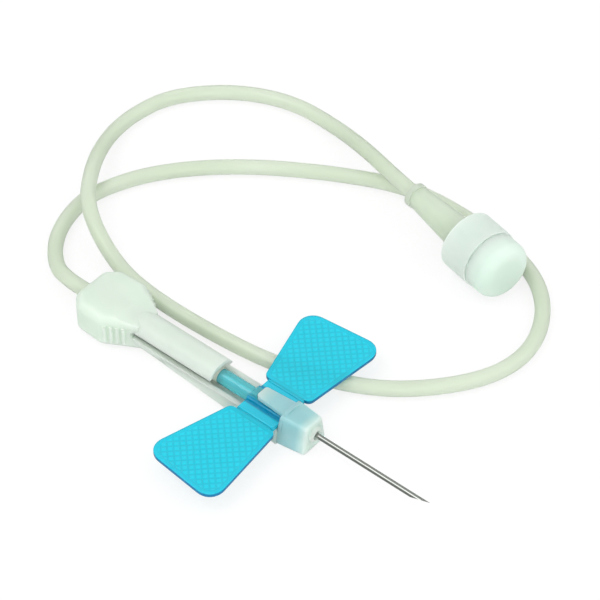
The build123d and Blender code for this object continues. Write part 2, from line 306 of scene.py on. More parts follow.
def bumps(tree: Tree, height: Socket, height_mm: float, strength: float) -> Socket:
    """Turns a surface's fine relief to its normal.

    Args:
        tree: The node tree.
        height: The relief from 0 to 1.
        height_mm: The height that 1 stands for.
        strength: How much of the relief is felt.

    Returns:
        The normal's socket.
    """
    inputs = {"Strength": strength, "Distance": height_mm * MM}
    return add_node(tree, "ShaderNodeBump", inputs, {"Height": height}).outputs["Normal"]


def start_material(name: str) -> tuple[Material, Tree]:
    """Makes an empty material.

    Args:
        name: Its name.

    Returns:
        The material and its node tree.
    """
    made = bpy.data.materials.new(name)
    made.use_nodes = True
    made.node_tree.nodes.clear()
    return made, made.node_tree


# ------------------------------------------------------------------ finishes


@dataclass(frozen=True)
class MouldedPlastic:
    """A moulded polymer, from milky to nearly clear.

    Its colour wanders slightly where the melt flowed, and the mould's surface leaves a fine grain.
    """

    name: str
    colour: str
    flow_colour: str
    roughness: float
    ior: float
    transmission: float
    flow_size_mm: float = 6.0
    flow_detail: float = 2.0
    # The share of the second colour at which the tint begins and ends to turn to it.
    flow_stops: tuple[float, float] = (0.3, 0.7)
    grain_mm: float = 0.25
    grain_detail: float = 3.0
    grain_height_mm: float = 0.004
    grain_strength: float = 0.5
    # How far the grain lowers and raises the roughness, as a share of it.
    roughness_spread: float = 0.15
    # How far light wanders below the surface, 0 for clear vinyl.
    scatter_mm: float = 0.0

    def material(self) -> Material:
        """Builds the material.

        Returns:
            The material.
        """
        made, tree = start_material(self.name)
        place = add_node(tree, "ShaderNodeTexCoord").outputs["Object"]
        tint = add_node(tree, "ShaderNodeValToRGB", links={"Fac": self.tone(tree, place)})
        first, second = tint.color_ramp.elements
        first.position, second.position = self.flow_stops
        first.color, second.color = linear(self.colour), linear(self.flow_colour)
        grain = clouds(tree, place, self.grain_mm, self.grain_detail)
        spread = self.roughness * self.roughness_spread
        shader = add_node(
            tree,
            "ShaderNodeBsdfPrincipled",
            {
                "IOR": self.ior,
                "Transmission Weight": self.transmission,
                "Subsurface Weight": 1.0 if self.scatter_mm else 0.0,
                "Subsurface Radius": (1.0, 1.0, 1.0),
                "Subsurface Scale": self.scatter_mm * MM,
            },
            {
                "Base Color": tint.outputs["Color"],
                "Roughness": remap(
                    tree, grain, (self.roughness - spread, self.roughness + spread)
                ),
                "Normal": bumps(tree, grain, self.grain_height_mm, self.grain_strength),
            },
        )
        self.vary(tree, place, tint.outputs["Color"], shader)
        add_node(tree, "ShaderNodeOutputMaterial", links={"Surface": shader.outputs["BSDF"]})
        return made

    def tone(self, tree: Tree, place: Socket) -> Socket:
        """The share of the second colour, here in clouds as the melt flowed."""
        return clouds(tree, place, self.flow_size_mm, self.flow_detail)

    def vary(self, tree: Tree, place: Socket, tint: Socket, shader: Node) -> None:
        """Lets a kind of plastic change along the piece; here it stays the same."""


@dataclass(frozen=True)
class HousingPlastic(MouldedPlastic):
    """Milky plastic, thinner and clearer round the blue hub, with the hub's blue painted into it as
    a glow.
    """

    clear_transmission: float = 0.5
    # Painted glow: the hub's blue seen through the wall, painted in along a fixed stretch of X, so
    # it stays there when the housing slides.
    painted_glow_colour: str = "#BCEEF2"
    # Where along X the wall is milky, clear and painted blue from, clear and painted blue to, and
    # milky again.
    stops_mm: tuple[float, float, float, float] = (0.5, 4.0, 9.8, 11.8)

    def vary(self, tree: Tree, place: Socket, tint: Socket, shader: Node) -> None:
        """Makes the walls round the hub clearer and paints the hub's blue glow into them.

        Args:
            tree: The node tree.
            place: Object coordinates.
            tint: The colour so far.
            shader: The surface shader.
        """
        share = band(tree, place, Axis.X, self.stops_mm)
        clear = remap(tree, share, (self.transmission, self.clear_transmission))
        tree.links.new(clear, shader.inputs["Transmission Weight"])
        # Painted glow of the hub's blue in the clear stretch.
        coloured = blend_colour(tree, share, tint, self.painted_glow_colour)
        tree.links.new(coloured, shader.inputs["Base Color"])


@dataclass(frozen=True)
class HubPlastic(MouldedPlastic):
    """Blue vinyl painted pale in the round sleeve, deeper in the flat webs beside it, with painted
    shade along the sleeve's foot.
    """

    web_colour: str = "#22D2EC"
    # Painted shade: a deep blue band along the sleeve's foot between the webs, also standing for
    # light's longest way through the thick vinyl.
    painted_shade_colour: str = "#0098C2"
    # From and to where the painted shade band reaches across the needle, and the webs along it.
    painted_shade_mm: tuple[float, float] = (0.95, 1.95)
    web_mm: tuple[float, float] = (-0.2, 6.8)
    # Half the width of the soft change between two colours.
    blur_mm: float = 0.15
    # The transmission of webs and of the painted shade band on the foot, as a share of the
    # sleeve's.
    dense_share: float = 0.4

    def vary(self, tree: Tree, place: Socket, tint: Socket, shader: Node) -> None:
        """Deepens the colour of the webs and paints a shade band along the sleeve's foot.

        Args:
            tree: The node tree.
            place: Object coordinates.
            tint: The colour so far.
            shader: The surface shader.
        """
        near, far, rear, front = (
            (stop - self.blur_mm, stop + self.blur_mm) for stop in self.painted_shade_mm + self.web_mm
        )
        webs = band(tree, place, Axis.Y, far + BEYOND_MM, folded=True)
        across = band(tree, place, Axis.Y, near + far, folded=True)
        along = band(tree, place, Axis.X, rear + front)
        # Painted shade: the band along the sleeve's foot.
        foot = compute(tree, "MULTIPLY", across, along)
        coloured = blend_colour(tree, webs, tint, self.web_colour)
        # The painted shade colour over the band.
        coloured = blend_colour(tree, foot, coloured, self.painted_shade_colour)
        tree.links.new(coloured, shader.inputs["Base Color"])
        either = compute(tree, "MAXIMUM", webs, foot)
        dense = remap(tree, either, (self.transmission, self.dense_share * self.transmission))
        tree.links.new(dense, shader.inputs["Transmission Weight"])


@dataclass(frozen=True)
class DiamondGripPlastic(MouldedPlastic):
    """The wing's grip field: lighter diamonds between darker lines of painted shade that cross at
    45 degrees in the grooves.
    """

    turn_deg: float = 45.0

    def tone(self, tree: Tree, place: Socket) -> Socket:
        """The share of the diamonds' colour against that of the painted shade in the grooves.

        Args:
            tree: The node tree.
            place: Object coordinates.

        Returns:
            A value from 0 on the lines to 1 on the middle of a diamond.
        """
        turn = {"Rotation": (0.0, 0.0, math.radians(self.turn_deg))}
        turned = add_node(tree, "ShaderNodeMapping", turn, {"Vector": place}).outputs["Vector"]
        half_turns = math.pi / (DIAMOND_PITCH_MM * MM)
        waves = []
        for axis in (Axis.X, Axis.Y):
            angle = compute(tree, "MULTIPLY", coordinate(tree, turned, axis), half_turns)
            waves.append(compute(tree, "ABSOLUTE", compute(tree, "SINE", angle)))
        return compute(tree, "MINIMUM", *waves)


@dataclass(frozen=True)
class DrawnSteel:
    """Stainless steel tube, drawn and polished: bright, with fine lines along its length."""

    name: str
    colour: str
    roughness: float
    # The least and the greatest roughness, as shares of it.
    roughness_shares: tuple[float, float] = (0.8, 1.3)
    line_mm: float = 0.05
    line_length_mm: float = 6.0
    line_detail: float = 2.0
    line_height_mm: float = 0.002
    line_strength: float = 0.3

    def material(self) -> Material:
        """Builds the material.

        Returns:
            The material.
        """
        made, tree = start_material(self.name)
        place = add_node(tree, "ShaderNodeTexCoord").outputs["Object"]
        # After the stretch a line is as wide and as long as one cloud of 1 mm.
        stretch = {"Scale": (1 / self.line_length_mm, 1 / self.line_mm, 1 / self.line_mm)}
        stretched = add_node(tree, "ShaderNodeMapping", stretch, {"Vector": place})
        lines = clouds(tree, stretched.outputs["Vector"], 1.0, self.line_detail)
        least, greatest = (self.roughness * share for share in self.roughness_shares)
        shader = add_node(
            tree,
            "ShaderNodeBsdfPrincipled",
            {"Base Color": linear(self.colour), "Metallic": 1.0},
            {
                "Roughness": remap(tree, lines, (least, greatest)),
                "Normal": bumps(tree, lines, self.line_height_mm, self.line_strength),
            },
        )
        add_node(tree, "ShaderNodeOutputMaterial", links={"Surface": shader.outputs["BSDF"]})
        return made


# Milky polypropylene of the sliding housing: soft edges, light passes but no clear view through.
HOUSING_PLASTIC = HousingPlastic(
    "milky_polypropylene", "#E4F1E4", "#DEEDDF", 0.34, 1.49, 0.22, scatter_mm=1.5
)
# The same plastic in the solid walls of the foot, less clear because little passes through them,
# and painted lighter than the housing to lift the shade on them.
FOOT_PLASTIC_PAINTED_LIGHTER = MouldedPlastic(
    "milky_polypropylene_foot_painted_lighter", "#E6F7E6", "#E0F3E2", 0.34, 1.49, 0.1, scatter_mm=1.5
)
# Denser milky polypropylene of the cap: flat and matt.
CAP_PLASTIC = MouldedPlastic(
    "cap_polypropylene", "#D6E6DB", "#D0E2D6", 0.55, 1.49, 0.05, scatter_mm=2.5
)
# Soft vinyl of the connector: faintly green, with the tube's end dimly seen in it.
CONNECTOR_PLASTIC = MouldedPlastic(
    "connector_vinyl", "#E4F0DE", "#DDEBD6", 0.34, 1.52, 0.4, scatter_mm=1.5
)
# Light blue vinyl of the wing moulding, glossy from a polished mould.
BLUE_VINYL = MouldedPlastic("blue_vinyl", "#02DAF0", "#00D4EC", 0.14, 1.53, 0.45)
# The same vinyl in the sleeve and the webs, with the sleeve painted lighter for the light that
# comes from all round.
BLUE_SLEEVE_PAINTED_LIGHT_AND_SHADE = HubPlastic("blue_vinyl_sleeve_painted_light_and_shade", "#78ECF4", "#6CE6F2", 0.1, 1.53, 0.65)
# The same vinyl in the grip field, with painted shade: darker lines in the grooves between its
# raised diamonds.
BLUE_GRIP_FIELD_PAINTED_SHADE = DiamondGripPlastic(
    "blue_vinyl_grip_field_painted_shade", "#02C9E0", "#04D9EE", 0.2, 1.53, 0.3
)
# The same vinyl on the panel's sides, painted deeper blue for the light's long way along the panel.
BLUE_EDGE_PAINTED_DEEPER = MouldedPlastic("blue_vinyl_edge_painted_deeper", "#0A93C8", "#0788BE", 0.14, 1.53, 0.5)
# Soft clear vinyl of the tubing, with the faint green of its plasticiser.
TUBING_VINYL = MouldedPlastic(
    "tubing_vinyl", "#F1FAE9", "#EBF6E2", 0.34, 1.53, 0.5, flow_size_mm=18.0
)
# Cured adhesive round the needle: a clear, wet-looking bead in the nose.
ADHESIVE = MouldedPlastic("cured_adhesive", "#E9EFEA", "#E1EAE4", 0.12, 1.5, 0.75)
# Drawn steel of the needle: a grey tube with a bright and a dark streak along it.
NEEDLE_STEEL = DrawnSteel("drawn_stainless_steel", "#A0A39E", 0.13)


def dress(piece: Piece, *materials: Material) -> None:
    """Puts materials in a piece's slots in order.

    Args:
        piece: A mesh object.
        *materials: One material for each slot.
    """
    piece.data.materials.clear()
    for material in materials:
        piece.data.materials.append(material)


# ------------------------------------------------------------- mesh handling


@contextmanager
def editing() -> Iterator[None]:
    """Keeps the active mesh in edit mode within a with block."""
    bpy.ops.object.mode_set(mode="EDIT")
    try:
        yield
    finally:
        bpy.ops.object.mode_set(mode="OBJECT")


def deselect() -> None:
    """Leaves nothing selected, so that an operator acts on new things alone."""
    bpy.ops.object.select_all(action="DESELECT")


def select_only(piece: Piece) -> None:
    """Makes a piece the only selected and the active one.

    Args:
        piece: The piece.
    """
    deselect()
    piece.select_set(True)
    bpy.context.view_layer.objects.active = piece


def select_nothing(kind: str) -> None:
    """Leaves nothing of the active mesh selected.

    Args:
        kind: What is selected from then on: VERT, EDGE or FACE.
    """
    with editing():
        bpy.ops.mesh.select_mode(type=kind)
        bpy.ops.mesh.select_all(action="DESELECT")


def select_faces(piece: Piece, wanted: Callable[[bpy.types.MeshPolygon], bool]) -> None:
    """Selects some of the active mesh's faces.

    Args:
        piece: The active mesh object.
        wanted: Whether a face is to be selected.
    """
    select_nothing("FACE")
    for polygon in piece.data.polygons:
        polygon.select = wanted(polygon)


def take(name: str) -> Piece:
    """Names the active object and puts its place into its mesh.

    Args:
        name: The piece's name.

    Returns:
        The object.
    """
    piece = bpy.context.object
    piece.name = name
    bpy.ops.object.transform_apply(location=True, rotation=True, scale=True)
    return piece


def block(
    name: str, size_mm: tuple[float, float, float], place_mm: tuple[float, float, float]
) -> Piece:
    """Adds a cuboid.

    Args:
        name: The piece's name.
        size_mm: Its length, width and height.
        place_mm: Its middle.

    Returns:
        The cuboid.
    """
    deselect()
    bpy.ops.mesh.primitive_cube_add(size=1.0)
    cuboid = bpy.context.object
    cuboid.dimensions = [value * MM for value in size_mm]
    cuboid.location = [value * MM for value in place_mm]
    return take(name)


def modify(piece: Piece, kind: str, **settings: object) -> None:
    """Adds a modifier to the active piece and applies it.

    Args:
        piece: The active mesh object.
        kind: The modifier's type name.
        **settings: The modifier's properties.
    """
    modifier = piece.modifiers.new(kind.lower(), kind)
    for name, value in settings.items():
        setattr(modifier, name, value)
    bpy.ops.object.modifier_apply(modifier=modifier.name)


def join(pieces: list[Piece], name: str) -> Piece:
    """Makes one piece of several.

    Args:
        pieces: The pieces.
        name: The joined piece's name.

    Returns:
        The joined piece.
    """
    select_only(pieces[0])
    for piece in pieces[1:]:
        piece.select_set(True)
    bpy.ops.object.join()
    joined = bpy.context.object
    joined.name = name
    return joined


def report(piece: Piece) -> None:
    """Writes a piece's name and number of faces to the log."""
    log.info("%s: %d faces", piece.name, len(piece.data.polygons))


# ------------------------------------------------------------------- studio


@dataclass(frozen=True)
class Lamp:
    """One soft square lamp, with its direction and height above the horizon in degrees."""

    name: str
    azimuth: float
    elevation: float
    size_mm: float
    watts: float


@dataclass
class Studio:
    """Camera, floor, lights and world, none of them part of the object."""

    azimuth: float = 40.1
    elevation: float = 45.4
    look_at_mm: tuple[float, float, float] = (-9.12, 21.26, 0.0)
    distance_mm: float = 403.0
    lens: float = 160.8
    sensor_mm: float = 36.0
    # The nearest and the farthest that the camera sees.
    clip_mm: tuple[float, float] = (10.0, 20000.0)
    floor_mm: float = 3000.0
    floor_colour: str = "#F7F7F7"
    # How much of the white that the camera sees in the table is its own: the rest takes shadow.
    floor_glow: float = 0.78
    # What steel and gloss mirror: a grey table, dark walls from the horizon up and a white ceiling.
    mirrored_floor: str = "#B0B4B1"
    mirrored_walls: str = "#4A4E4C"
    mirrored_ceiling: float = 0.7
    # The heights, as parts of the way from the horizon up, between which ceiling turns to walls.
    wall_top: tuple[float, float] = (0.3, 0.12)
    # The strength of the light from all round.
    ambient: float = 0.88
    lamp_distance_mm: float = 700.0
    lamps: tuple[Lamp, ...] = (
        Lamp("key_lamp", -35.0, 62.0, 400.0, 1.2),
        Lamp("front_lamp", 42.0, 18.0, 500.0, 1.2),
        Lamp("fill_lamp", 120.0, 40.0, 500.0, 0.7),
    )

    def aim(self, thing: Piece, azimuth: float, elevation: float, distance_mm: float) -> None:
        """Puts a camera or a lamp in its place round the object and turns it to face it.

        Args:
            thing: The camera or lamp.
            azimuth: Its direction in degrees.
            elevation: Its height above the horizon in degrees.
            distance_mm: How far from the point that it faces.
        """
        turn, rise = math.radians(azimuth), math.radians(elevation)
        level = math.cos(rise)
        away = Vector((math.sin(turn) * level, -math.cos(turn) * level, math.sin(rise)))
        thing.location = Vector(self.look_at_mm) * MM + away * distance_mm * MM
        thing.rotation_mode = "QUATERNION"
        thing.rotation_quaternion = (-away).to_track_quat("-Z", "Y")
        bpy.context.scene.collection.objects.link(thing)

    def camera(self) -> None:
        """Places the camera where the photograph was taken from."""
        data = bpy.data.cameras.new("camera")
        data.lens, data.sensor_width = self.lens, self.sensor_mm
        data.clip_start, data.clip_end = (reach * MM for reach in self.clip_mm)
        camera = bpy.data.objects.new("camera", data)
        self.aim(camera, self.azimuth, self.elevation, self.distance_mm)
        bpy.context.scene.camera = camera

    def seen_directly(self, tree: Tree) -> Socket:
        """Tells what the camera sees, also by reflection or through clear plastic.

        Args:
            tree: The node tree.

        Returns:
            A value of 1 for such light, else 0.
        """
        path = add_node(tree, "ShaderNodeLightPath").outputs
        either = compute(tree, "MAXIMUM", path["Is Camera Ray"], path["Is Glossy Ray"])
        return compute(tree, "MAXIMUM", either, path["Is Transmission Ray"])

    def mirrored(self, tree: Tree) -> Socket:
        """Tells what a surface mirrors, but not what is seen through it.

        Args:
            tree: The node tree.

        Returns:
            A value of 1 for such light, else 0.
        """
        path = add_node(tree, "ShaderNodeLightPath").outputs
        rays = path["Is Glossy Ray"], path["Is Transmission Ray"]
        return compute(tree, "SUBTRACT", *rays, clamp=True)

    def floor(self) -> None:
        """Adds the white table, which keeps a soft shadow under the object."""
        deselect()
        bpy.ops.mesh.primitive_plane_add(size=self.floor_mm * MM)
        table = take("floor")
        made, tree = start_material("white_table")
        matt, white, grey = (
            add_node(tree, kind, {"Color": linear(code)}).outputs[0]
            for kind, code in (
                ("ShaderNodeBsdfDiffuse", self.floor_colour),
                ("ShaderNodeEmission", "#FFFFFF"),
                ("ShaderNodeEmission", self.mirrored_floor),
            )
        )
        share = compute(tree, "MULTIPLY", self.seen_directly(tree), self.floor_glow)
        plain = mix_shaders(tree, share, matt, white)
        seen = mix_shaders(tree, self.mirrored(tree), plain, grey)
        add_node(tree, "ShaderNodeOutputMaterial", links={"Surface": seen})
        dress(table, made)

    def world(self) -> None:
        """Lights the set softly from all round, white where the camera sees past the floor.

        What mirrors in steel and gloss is white above and dark near the horizon, like a studio.
        """
        world = bpy.data.worlds.new("studio")
        world.use_nodes = True
        tree = world.node_tree
        tree.nodes.clear()
        backgrounds = []
        for code, strength in (
            ("#FFFFFF", self.ambient),
            ("#FFFFFF", 1.0),
            ("#FFFFFF", self.mirrored_ceiling),
            (self.mirrored_walls, 1.0),
        ):
            inputs = {"Color": linear(code), "Strength": strength}
            backgrounds.append(add_node(tree, "ShaderNodeBackground", inputs).outputs[0])
        around, white, above, sides = backgrounds
        plain = mix_shaders(tree, self.seen_directly(tree), around, white)
        sky = add_node(tree, "ShaderNodeTexCoord").outputs["Generated"]
        low = remap(tree, coordinate(tree, sky, Axis.Z), (0.0, 1.0), self.wall_top)
        room = mix_shaders(tree, low, above, sides)
        walled = mix_shaders(tree, self.mirrored(tree), plain, room)
        add_node(tree, "ShaderNodeOutputWorld", links={"Surface": walled})
        bpy.context.scene.world = world

    def light(self, lamp: Lamp) -> None:
        """Adds one lamp.

        Args:
            lamp: Its name, place, size and power.
        """
        data = bpy.data.lights.new(lamp.name, "AREA")
        data.size, data.energy = lamp.size_mm * MM, lamp.watts
        made = bpy.data.objects.new(lamp.name, data)
        self.aim(made, lamp.azimuth, lamp.elevation, self.lamp_distance_mm)

    def build(self) -> None:
        """Sets up everything round the object."""
        self.camera()
        self.floor()
        self.world()
        for lamp in self.lamps:
            self.light(lamp)
        bpy.context.scene.view_settings.view_transform = "Standard"


# ------------------------------------------------------------------- tubing


@dataclass
class Tubing:
    """The soft tube from the sleeve's spigot through the housing and round to the connector."""

    outside_mm: float = 2.4
    bore_mm: float = 1.2
    axis_height_mm: float = 2.9
    sleeve_rear_mm: float = -6.0
    housing_rear_mm: float = -32.1
    length_mm: float = 317.3
    # The height of the tube's middle where it lies on the table.
    lying_mm: float = 1.2
    # Where the tubing runs after the housing; None stands for tubing that lies on the table.
    route_mm: tuple[tuple[float, float, float | None], ...] = (
        (-36.4, 0.0, 2.9),
        (-40.7, 1.4, 2.0),
        (-45.5, 6.2, None),
        (-47.8, 11.9, None),
        (-48.2, 17.9, None),
        (-44.2, 27.1, None),
        (-35.6, 36.4, None),
        (-23.8, 44.4, None),
        (-11.3, 50.5, None),
        (1.9, 50.7, None),
        (13.8, 48.2, None),
        (20.5, 43.1, None),
        (24.3, 35.3, None),
        (23.7, 27.5, None),
        (18.7, 19.7, None),
        (11.2, 13.0, None),
        (-0.9, 8.2, None),
        (-12.0, 6.8, None),
        (-24.9, 6.5, None),
        (-34.5, 7.9, 1.4),
        (-44.2, 11.9, 4.6),
        (-49.8, 19.2, 4.6),
        (-54.7, 27.8, 1.9),
        (-55.9, 34.8, None),
        (-54.3, 42.4, None),
        (-47.2, 50.0, None),
        (-38.2, 54.0, None),
        (-28.6, 53.6, 1.4),
        (-19.9, 50.4, 3.8),
    )
    connector_mm: tuple[float, float, float] = (-7.25, 46.4, 4.9)
    connector_turn_deg: float = -13.0
    # How far the tube ends inside the connector, and how long it runs straight before that.
    socket_mm: float = 0.6
    last_run_mm: float = 6.0
    # Steps of the curve between two points, and from the top of its round section to its side.
    steps: int = 14
    round_steps: int = 7
    weld_mm: float = 0.002

    def points(self) -> list[Vector]:
        """The control points of the tube's centreline, in metres.

        Returns:
            The points from the sleeve's spigot to the connector's socket.
        """
        turn = math.radians(self.connector_turn_deg)
        along = Vector((math.cos(turn), math.sin(turn), 0.0))
        end = Vector(self.connector_mm) + along * self.socket_mm
        middle = (self.sleeve_rear_mm + self.housing_rear_mm) / 2
        inside = (self.sleeve_rear_mm, middle, self.housing_rear_mm)
        route = [Vector((x, 0.0, self.axis_height_mm)) for x in inside]
        route += [Vector((x, y, self.lying_mm if z is None else z)) for x, y, z in self.route_mm]
        route += [end - along * self.last_run_mm, end]
        return [p * MM for p in route]

    def spline(self, name: str, radius_mm: float) -> Piece:
        """Draws the centreline as one smooth curve.

        Args:
            name: The object's name.
            radius_mm: The radius of the tube round it, or 0 for the line alone.

        Returns:
            The curve object.
        """
        data = bpy.data.curves.new(name, "CURVE")
        data.dimensions = "3D"
        data.resolution_u, data.bevel_resolution = self.steps, self.round_steps
        data.bevel_depth = radius_mm * MM
        spline = data.splines.new("NURBS")
        points = self.points()
        spline.points.add(len(points) - 1)
        for point, place in zip(spline.points, points):
            point.co = (*place, 1.0)
        spline.order_u = 3
        spline.use_endpoint_u = True
        curve = bpy.data.objects.new(name, data)
        bpy.context.scene.collection.objects.link(curve)
        return curve

    def centreline(self) -> list[tuple[float, float, float]]:
        """Measures the curve that the tube follows.

        Returns:
            Its points from the spigot to the socket, in metres.
        """
        line = self.spline("tube_line", 0.0)
        bpy.context.view_layer.update()
        drawn = bpy.data.meshes.new_from_object(line)
        path = [tuple(v.co) for v in drawn.vertices]
        bpy.data.objects.remove(line)
        return path

    def wall(self, name: str, across_mm: float, inward: bool) -> Piece:
        """Turns the curve to a round wall.

        Args:
            name: The object's name.
            across_mm: The wall's diameter.
            inward: Whether it faces the tube's middle.

        Returns:
            The mesh object.
        """
        select_only(self.spline(name, across_mm / 2))
        bpy.ops.object.convert(target="MESH")
        with editing():
            bpy.ops.mesh.select_all(action="SELECT")
            bpy.ops.mesh.remove_doubles(threshold=self.weld_mm * MM)
            bpy.ops.mesh.normals_make_consistent(inside=False)
            if inward:
                bpy.ops.mesh.flip_normals()
        return bpy.context.object

    def close_end(self, tube: Piece, end: tuple[float, float, float]) -> None:
        """Joins the outer wall and the bore by a flat ring at one end.

        Args:
            tube: The joined walls, the active object.
            end: The centreline's point at that end.
        """
        select_nothing("EDGE")
        with editing():
            bpy.ops.mesh.select_non_manifold()
        reach = self.outside_mm * MM
        vertices = tube.data.vertices
        for edge in tube.data.edges:
            near = all((vertices[i].co - Vector(end)).length < reach for i in edge.vertices)
            edge.select = edge.select and near
        with editing():
            bpy.ops.mesh.bridge_edge_loops()

    def build(self) -> None:
        path = self.centreline()
        outer = self.wall("soft_tube", self.outside_mm, inward=False)
        bore = self.wall("soft_tube_bore", self.bore_mm, inward=True)
        tube = join([outer, bore], "soft_tube")
        for end in (path[0], path[-1]):
            self.close_end(tube, end)
        dress(tube, TUBING_VINYL.material())
        for polygon in tube.data.polygons:
            polygon.use_smooth = len(polygon.vertices) == 4
        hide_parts("tubing", "tubing_inner")
        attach(tube, Body.NEEDLE_UNIT.value)
        report(tube)


# -------------------------------------------------------------------- wings


@dataclass(frozen=True)
class Web:
    """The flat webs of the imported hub, which reach from its sleeve out to the folds."""

    rear_mm: float = 0.0
    front_mm: float = 6.6
    half_mm: float = 3.55
    top_mm: float = 3.45

    @property
    def length_mm(self) -> float:
        """The webs' length along the needle."""
        return self.front_mm - self.rear_mm

    @property
    def middle_mm(self) -> float:
        """The place of the webs' middle along the needle."""
        return (self.front_mm + self.rear_mm) / 2


WEB = Web()


@dataclass
class Wing:
    """One flat wing: a smooth rim round a grip field that is set slightly lower."""

    side: Side
    body: Body
    node: str
    nose_mm: float = 11.5
    span_mm: float = 38.4
    # How much farther in the rear tip is than the front tip.
    rear_tip_inset_mm: float = 1.4
    # The wing's root is this far from the needle's plane, and the rest is behind the nose's face.
    root_mm: float = 3.65
    root_front_mm: float = 4.1
    root_rear_mm: float = 12.5
    tip_front_mm: float = 2.5
    tip_rear_mm: float = 16.5
    tip_radius_mm: float = 2.5
    root_radius_mm: float = 1.0
    corner_steps: int = 10
    bottom_mm: float = 2.75
    thickness_mm: float = 0.7
    edge_mm: float = 0.12
    edge_steps: int = 3
    rim_mm: float = 0.5
    step_mm: float = 0.12
    recess_mm: float = 0.05
    diamond_height_mm: float = 0.035
    # The groove between two diamonds, and the share of a diamond that a cut one needs to be raised.
    groove_mm: float = 0.24
    whole_share: float = 0.7
    # The strip between web and wing: how far it laps over web and wing, and how much shorter than
    # the web.
    fold_thickness_mm: float = 0.28
    fold_lap_mm: float = 0.05
    fold_inset_mm: float = 0.5
    fold_edge_mm: float = 0.02
    fold_edge_steps: int = 2
    fold_cuts: int = 3
    # Edges that bend less than the first get no bevel, and less than the second look round.
    bevel_deg: float = 50.0
    smooth_deg: float = 32.0

    def corners(self) -> list[tuple[Vector, float]]:
        """The outline's corners, anticlockwise seen from above.

        Returns:
            Each corner's place and radius, in metres.
        """
        sign = self.side.value
        half = self.span_mm / 2
        points = [
            (self.nose_mm - self.root_rear_mm, self.root_mm, self.root_radius_mm),
            (self.nose_mm - self.root_front_mm, self.root_mm, self.root_radius_mm),
            (self.nose_mm - self.tip_front_mm, half, self.tip_radius_mm),
            (self.nose_mm - self.tip_rear_mm, half - self.rear_tip_inset_mm, self.tip_radius_mm),
        ]
        placed = [(Vector((x, sign * y, self.bottom_mm)) * MM, r * MM) for x, y, r in points]
        return placed if self.side is Side.RIGHT else placed[::-1]

    def outline(self) -> Piece:
        """Makes the flat outline with its rounded corners.

        Returns:
            A mesh object with one face.
        """
        deselect()
        bpy.ops.mesh.primitive_plane_add(size=1.0)
        plane = take(self.node + "_panel")
        corners = self.corners()
        for index, (place, _) in zip(plane.data.polygons[0].vertices, corners):
            plane.data.vertices[index].co = place
        for here, (place, radius) in enumerate(corners):
            before, after = corners[here - 1][0] - place, corners[(here + 1) % 4][0] - place
            cut = radius / math.tan(before.angle(after) / 2)
            select_nothing("VERT")
            for vertex in plane.data.vertices:
                vertex.select = (vertex.co - place).length < SAME_PLACE
            with editing():
                bpy.ops.mesh.bevel(affect="VERTICES", offset=cut, segments=self.corner_steps)
        return plane

    def grip_field(self, panel: Piece, face: Face) -> None:
        """Sets the grip field into one flat face and raises its diamonds.

        Args:
            panel: The solid panel, the active object.
            face: The face.
        """

        def whole_face(polygon: bpy.types.MeshPolygon) -> bool:
            """Whether a polygon is the flat face with the whole outline round it."""
            flat = polygon.normal.z * face.value > FLAT
            return flat and len(polygon.vertices) > self.corner_steps

        select_faces(panel, whole_face)
        with editing():
            bpy.ops.mesh.inset(thickness=self.rim_mm * MM)
            bpy.ops.mesh.inset(thickness=self.step_mm * MM, depth=-self.recess_mm * MM)
            panel.active_material_index = WingFinish.GRIP.value
            bpy.ops.object.material_slot_assign()
        self.diamonds(panel, face)

    def select_field(self, panel: Piece, face: Face, smallest: float = 0.0) -> None:
        """Selects the faces of a grip field.

        Args:
            panel: The solid panel, the active object.
            face: The flat face that the field is on.
            smallest: The area that a face must have at least, in square metres.
        """

        def in_field(polygon: bpy.types.MeshPolygon) -> bool:
            """Whether a polygon is a large enough part of the field."""
            grip = polygon.material_index == WingFinish.GRIP.value
            return grip and polygon.normal.z * face.value > FLAT and polygon.area >= smallest

        select_faces(panel, in_field)

    def diamonds(self, panel: Piece, face: Face) -> None:
        """Cuts a field along lines at 45 degrees to the needle and raises what lies between.

        Args:
            panel: The solid panel, the active object.
            face: The flat face that the field is on.
        """
        pitch = DIAMOND_PITCH_MM * MM
        places = [v.co.copy() for v in panel.data.vertices]
        for across in (-1, 1):
            normal = Vector((1.0, across, 0.0)).normalized()
            reach = [place.dot(normal) / pitch for place in places]
            for line in range(math.ceil(min(reach)), math.floor(max(reach)) + 1):
                self.select_field(panel, face)
                with editing():
                    bpy.ops.mesh.bisect(plane_co=normal * line * pitch, plane_no=normal)
        self.select_field(panel, face, self.whole_share * pitch**2)
        inset, depth = self.groove_mm / 2 * MM, self.diamond_height_mm * MM
        with editing():
            bpy.ops.mesh.inset(thickness=inset, depth=depth, use_individual=True)

    def build(self, smooth: Material, grip: Material, edge: Material) -> None:
        """Makes the panel and the thin fold beside it.

        Args:
            smooth: The finish of the rim and the fold.
            grip: The finish of the grip field.
            edge: The finish of the panel's side, painted deeper blue.
        """
        panel = self.outline()
        modify(panel, "SOLIDIFY", thickness=self.thickness_mm * MM, offset=1.0)
        modify(
            panel,
            "BEVEL",
            width=self.edge_mm * MM,
            segments=self.edge_steps,
            angle_limit=math.radians(self.bevel_deg),
        )
        dress(panel, smooth, grip, edge)
        for polygon in panel.data.polygons:
            part = WingFinish.EDGE if abs(polygon.normal.z) < UPRIGHT else WingFinish.RIM
            polygon.material_index = part.value
        for face in Face:
            self.grip_field(panel, face)
        bpy.ops.object.shade_smooth_by_angle(angle=math.radians(self.smooth_deg))
        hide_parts(self.node)
        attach(panel, self.body.value)
        report(panel)
        self.fold(smooth)

